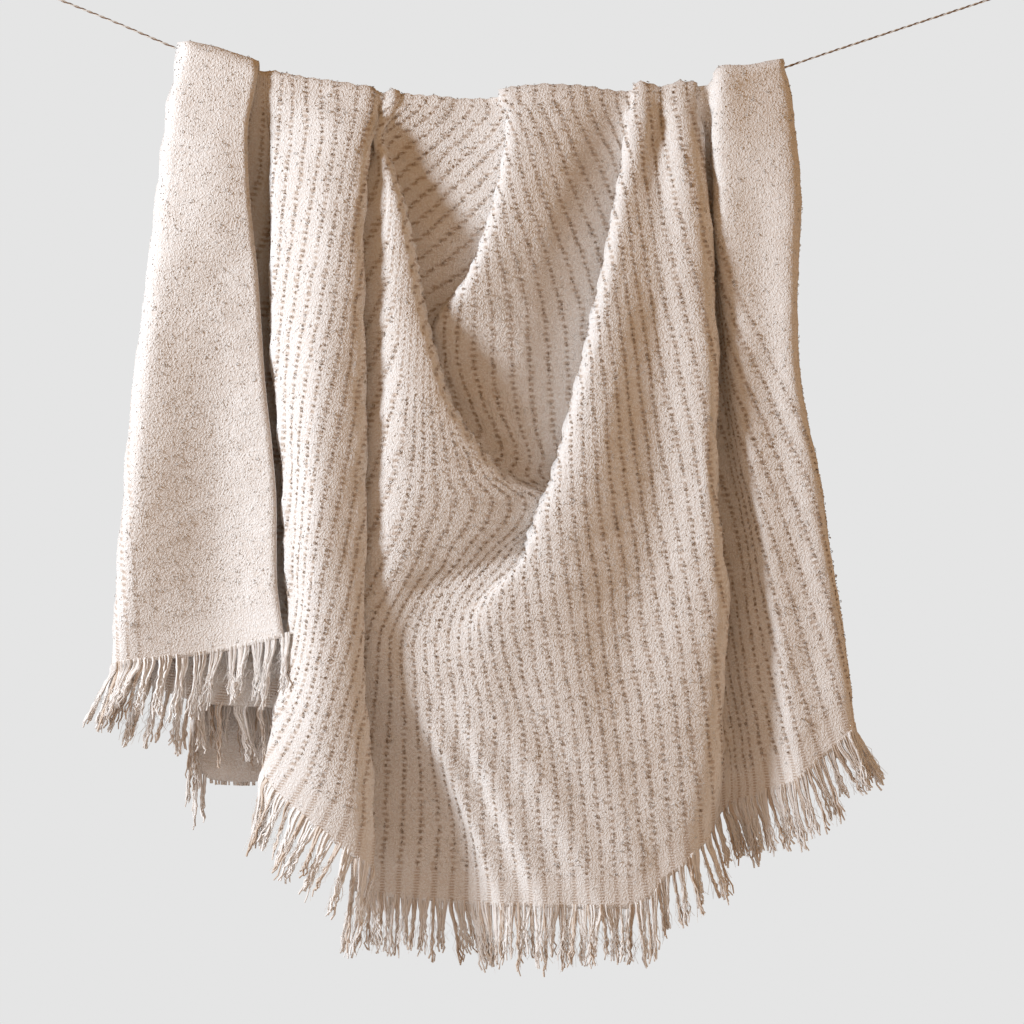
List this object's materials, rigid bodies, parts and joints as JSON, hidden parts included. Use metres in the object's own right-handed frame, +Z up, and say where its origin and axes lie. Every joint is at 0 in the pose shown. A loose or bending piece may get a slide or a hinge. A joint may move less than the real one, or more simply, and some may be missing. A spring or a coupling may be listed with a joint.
{
  "type": "boucle throw on a twine line",
  "caption": "Fringed boucle throw hung over a sagging line of twisted twine, falling in uneven folds at the front and the back.",
  "frame": {"origin": "middle of the left eye of the twine line", "axes": "+X along the line to the right, +Z up, -Y out of the front of the throw"},
  "size_m": [1.0199, 0.139, 0.9945],
  "materials": {
    "boucle": "cream boucle weave with taupe flecks in columns",
    "fringe_yarn": "loose cream and brown yarn ends",
    "twine": "brown and white twisted twine"
  },
  "bodies": {
    "root": {"throw_cloth": "boucle", "fringe_front": "fringe_yarn", "fringe_back": "fringe_yarn", "fringe_back_folded": "fringe_yarn", "line_twine": "twine", "line_eye_left": "twine", "line_eye_right": "twine"}
  },
  "joints": []
}
